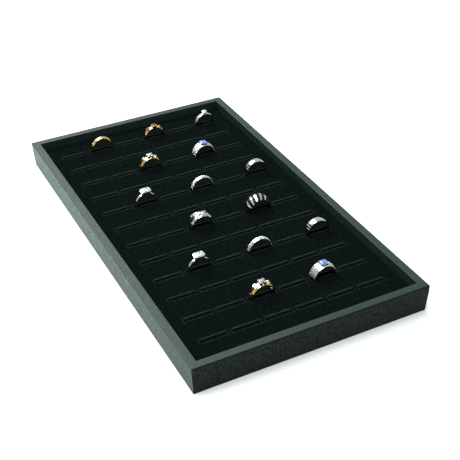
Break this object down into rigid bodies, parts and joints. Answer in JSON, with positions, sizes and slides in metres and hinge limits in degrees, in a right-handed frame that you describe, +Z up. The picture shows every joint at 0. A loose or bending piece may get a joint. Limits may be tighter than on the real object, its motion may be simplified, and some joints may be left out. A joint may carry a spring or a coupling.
{
  "type": "ring display tray",
  "caption": "Shallow leatherette-covered tray with a lift-out velvet pad whose slots hold finger rings upright for display.",
  "frame": {"origin": "middle of the tray's underside", "axes": "+Z up, +Y along the tray's long side towards its back, +X to the right across the short side"},
  "size_m": [0.2094, 0.3746, 0.0331],
  "materials": {
    "rail_wood": "sanded softwood",
    "leatherette": "pebble-grain vinyl leatherette, satin",
    "hardboard": "hardboard",
    "under_paper": "embossed dark paper",
    "lining_paper": "matte dark paper",
    "brad_steel": "bright wire",
    "pad_card": "grey board",
    "foam": "dense soft foam",
    "velvet": "short-pile velvet",
    "gold": "polished yellow gold",
    "silver": "polished white metal",
    "garnet": "faceted dark red stone",
    "clear_stone": "faceted clear stone",
    "blue_stone": "step-cut blue stone",
    "dark_inlay": "black enamel"
  },
  "bodies": {
    "tray": {"base_panel": "hardboard", "bottom_liner": "under_paper", "brads": "brad_steel", "floor_liner": "lining_paper", "leatherette_back": "leatherette", "leatherette_front": "leatherette", "leatherette_left": "leatherette", "leatherette_right": "leatherette", "rail_back": "rail_wood", "rail_front": "rail_wood", "rail_left": "rail_wood", "rail_right": "rail_wood"},
    "pad": {"foam_bar_01": "foam", "foam_bar_02": "foam", "foam_bar_03": "foam", "foam_bar_04": "foam", "foam_bar_05": "foam", "foam_bar_06": "foam", "foam_bar_07": "foam", "foam_bar_08": "foam", "foam_bar_09": "foam", "foam_bar_10": "foam", "foam_bar_11": "foam", "foam_bar_12": "foam", "foam_bar_13": "foam", "foam_webs": "foam", "pad_card": "pad_card", "velvet_cover": "velvet"},
    "ring_01": {"ring_01_band": "gold"},
    "ring_02": {"ring_02_band": "gold", "ring_02_setting": "gold", "ring_02_stones": "garnet"},
    "ring_03": {"ring_03_band": "silver", "ring_03_setting": "silver", "ring_03_stone": "clear_stone"},
    "ring_04": {"ring_04_band": "gold", "ring_04_setting": "silver", "ring_04_stones": "clear_stone"},
    "ring_05": {"ring_05_band": "silver", "ring_05_setting": "silver", "ring_05_stone": "blue_stone"},
    "ring_06": {"ring_06_band": "silver", "ring_06_setting": "silver"},
    "ring_07": {"ring_07_band": "silver"},
    "ring_08": {"ring_08_band": "silver", "ring_08_inlay": "dark_inlay"},
    "ring_09": {"ring_09_band": "silver"},
    "ring_10": {"ring_10_band": "silver", "ring_10_inlay": "dark_inlay"},
    "ring_11": {"ring_11_band": "silver", "ring_11_setting": "silver"},
    "ring_12": {"ring_12_band": "silver"},
    "ring_13": {"ring_13_band": "silver", "ring_13_inlay": "dark_inlay"},
    "ring_14": {"ring_14_band": "gold", "ring_14_setting": "silver", "ring_14_stones": "clear_stone"},
    "ring_15": {"ring_15_band": "silver", "ring_15_setting": "silver", "ring_15_stone": "blue_stone"}
  },
  "joints": [
    {"name": "pad_lift", "type": "slide", "parent": "tray", "child": "pad", "axis": [0, 0, 1], "range_m": [0, 0.03]},
    {"name": "ring_01_lift", "type": "slide", "parent": "pad", "child": "ring_01", "axis": [0, 0, 1], "range_m": [0, 0.03]},
    {"name": "ring_02_lift", "type": "slide", "parent": "pad", "child": "ring_02", "axis": [0, 0, 1], "range_m": [0, 0.03]},
    {"name": "ring_03_lift", "type": "slide", "parent": "pad", "child": "ring_03", "axis": [0, 0, 1], "range_m": [0, 0.03]},
    {"name": "ring_04_lift", "type": "slide", "parent": "pad", "child": "ring_04", "axis": [0, 0, 1], "range_m": [0, 0.03]},
    {"name": "ring_05_lift", "type": "slide", "parent": "pad", "child": "ring_05", "axis": [0, 0, 1], "range_m": [0, 0.03]},
    {"name": "ring_06_lift", "type": "slide", "parent": "pad", "child": "ring_06", "axis": [0, 0, 1], "range_m": [0, 0.03]},
    {"name": "ring_07_lift", "type": "slide", "parent": "pad", "child": "ring_07", "axis": [0, 0, 1], "range_m": [0, 0.03]},
    {"name": "ring_08_lift", "type": "slide", "parent": "pad", "child": "ring_08", "axis": [0, 0, 1], "range_m": [0, 0.03]},
    {"name": "ring_09_lift", "type": "slide", "parent": "pad", "child": "ring_09", "axis": [0, 0, 1], "range_m": [0, 0.03]},
    {"name": "ring_10_lift", "type": "slide", "parent": "pad", "child": "ring_10", "axis": [0, 0, 1], "range_m": [0, 0.03]},
    {"name": "ring_11_lift", "type": "slide", "parent": "pad", "child": "ring_11", "axis": [0, 0, 1], "range_m": [0, 0.03]},
    {"name": "ring_12_lift", "type": "slide", "parent": "pad", "child": "ring_12", "axis": [0, 0, 1], "range_m": [0, 0.03]},
    {"name": "ring_13_lift", "type": "slide", "parent": "pad", "child": "ring_13", "axis": [0, 0, 1], "range_m": [0, 0.03]},
    {"name": "ring_14_lift", "type": "slide", "parent": "pad", "child": "ring_14", "axis": [0, 0, 1], "range_m": [0, 0.03]},
    {"name": "ring_15_lift", "type": "slide", "parent": "pad", "child": "ring_15", "axis": [0, 0, 1], "range_m": [0, 0.03]}
  ]
}
